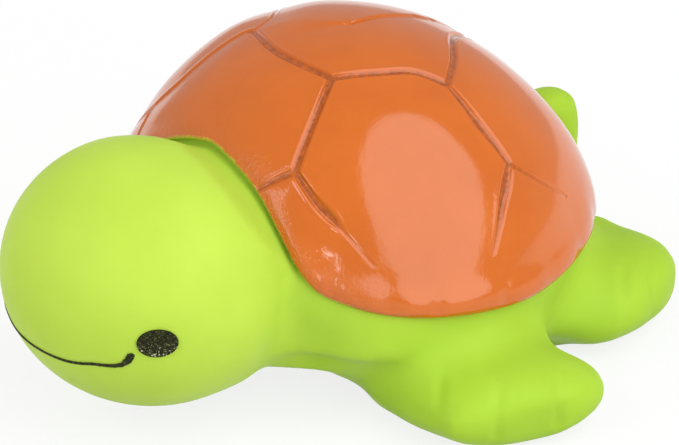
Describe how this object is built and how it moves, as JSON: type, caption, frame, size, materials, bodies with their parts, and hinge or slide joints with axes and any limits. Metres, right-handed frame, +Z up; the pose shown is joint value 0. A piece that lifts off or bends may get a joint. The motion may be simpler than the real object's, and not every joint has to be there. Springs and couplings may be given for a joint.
{
  "type": "squeaky bath toy",
  "caption": "Soft vinyl bath toy turtle with a round green head, flippers, a raised orange shell that squeezes and a reed squeaker in its belly.",
  "frame": {"origin": "middle of the toy's outline seen from above, on the surface that it stands on", "axes": "+Y from the head to the tail, +X towards the turtle's left side, +Z up"},
  "size_m": [0.0934, 0.1002, 0.047],
  "materials": {
    "green_vinyl": "satin",
    "orange_gloss": "gloss",
    "black_paint": "satin",
    "white_plastic": "matte",
    "clear_film": "satin"
  },
  "bodies": {
    "casting": {"body_casting": "green_vinyl", "left_eye": "black_paint", "right_eye": "black_paint", "mouth_line": "black_paint", "squeaker_cup": "white_plastic", "squeaker_cover": "white_plastic", "reed_trough": "white_plastic", "reed_wedge": "white_plastic"},
    "shell": {"carapace": "orange_gloss"},
    "reed_strip": {"reed": "clear_film"}
  },
  "joints": [
    {"name": "squeeze", "type": "slide", "parent": "casting", "child": "shell", "axis": [0, 0, -1], "range_m": [0, 0.004], "stiffness_N_per_m": 2000, "deforming": ["body_casting"]},
    {"name": "reed_flutter", "type": "hinge", "parent": "casting", "child": "reed_strip", "pos_m": [0, 0.0058, 0.0029], "axis": [0, 1, 0], "range_deg": [-5, 5], "stiffness_Nm_per_rad": 0.0002}
  ]
}
